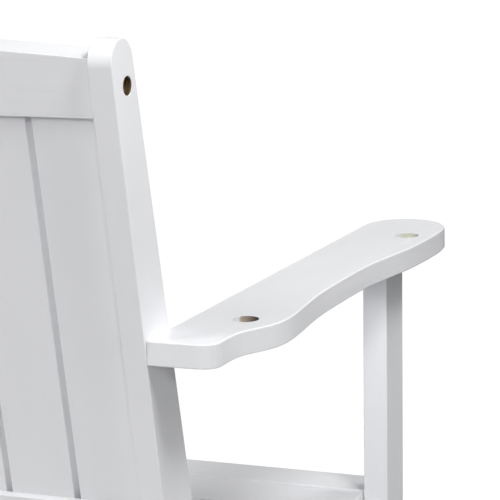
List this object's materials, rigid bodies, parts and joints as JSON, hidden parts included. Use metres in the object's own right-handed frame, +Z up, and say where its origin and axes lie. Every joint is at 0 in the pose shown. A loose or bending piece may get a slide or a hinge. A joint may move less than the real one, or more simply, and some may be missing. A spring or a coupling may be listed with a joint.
{
  "type": "adirondack chair",
  "caption": "Outdoor lounge chair of painted boards: reclined slatted back with arched top rail, flat scooped arms, slatted dished seat, board legs and swept side rails.",
  "frame": {"origin": "on the ground plane, under the middle of the chair's bounding box", "axes": "+Z up; the sitter faces -Y; +X is towards the sitter's left arm; the chair is symmetric about X = 0"},
  "size_m": [0.7144, 0.884, 0.8806],
  "materials": {
    "painted_wood": "satin white paint over planed wood, edges eased",
    "raw_wood": "unpainted drilled or turned wood",
    "brass_plate": "yellow zinc plated steel, dulled",
    "zinc_plate": "bright zinc plated steel"
  },
  "bodies": {
    "root": {"back_stile_left": "painted_wood", "back_stile_right": "painted_wood", "crest_rail": "painted_wood", "lower_back_rail": "painted_wood", "back_slat_1": "painted_wood", "back_slat_2": "painted_wood", "back_slat_3": "painted_wood", "back_slat_4": "painted_wood", "back_slat_5": "painted_wood", "back_slat_6": "painted_wood", "back_slat_7": "painted_wood", "arm_left": "painted_wood", "arm_right": "painted_wood", "front_leg_left": "painted_wood", "front_leg_right": "painted_wood", "side_rail_left": "painted_wood", "side_rail_right": "painted_wood", "front_apron": "painted_wood", "rear_cross_rail": "painted_wood", "seat_slat_1": "painted_wood", "seat_slat_2": "painted_wood", "seat_slat_3": "painted_wood", "seat_slat_4": "painted_wood", "seat_slat_5": "painted_wood", "seat_slat_6": "painted_wood", "crest_bolt_left": "brass_plate", "lower_rail_bolt_left": "brass_plate", "arm_bolt_left_rear": "brass_plate", "arm_bolt_left_front": "brass_plate", "crest_bolt_right": "brass_plate", "lower_rail_bolt_right": "brass_plate", "arm_bolt_right_rear": "brass_plate", "arm_bolt_right_front": "brass_plate", "leg_bolt_left_upper": "zinc_plate", "leg_bolt_left_lower": "zinc_plate", "leg_nut_left_upper": "zinc_plate", "leg_nut_left_lower": "zinc_plate", "stile_bolt_left_upper": "zinc_plate", "stile_bolt_left_lower": "zinc_plate", "stile_nut_left_upper": "zinc_plate", "stile_nut_left_lower": "zinc_plate", "apron_screw_left_upper": "zinc_plate", "apron_screw_left_lower": "zinc_plate", "cross_rail_screw_left": "zinc_plate", "leg_bolt_right_upper": "zinc_plate", "leg_bolt_right_lower": "zinc_plate", "leg_nut_right_upper": "zinc_plate", "leg_nut_right_lower": "zinc_plate", "stile_bolt_right_upper": "zinc_plate", "stile_bolt_right_lower": "zinc_plate", "stile_nut_right_upper": "zinc_plate", "stile_nut_right_lower": "zinc_plate", "apron_screw_right_upper": "zinc_plate", "apron_screw_right_lower": "zinc_plate", "cross_rail_screw_right": "zinc_plate", "leg_dowel_left_rear": "raw_wood", "leg_dowel_left_front": "raw_wood", "leg_dowel_right_rear": "raw_wood", "leg_dowel_right_front": "raw_wood"}
  },
  "joints": []
}
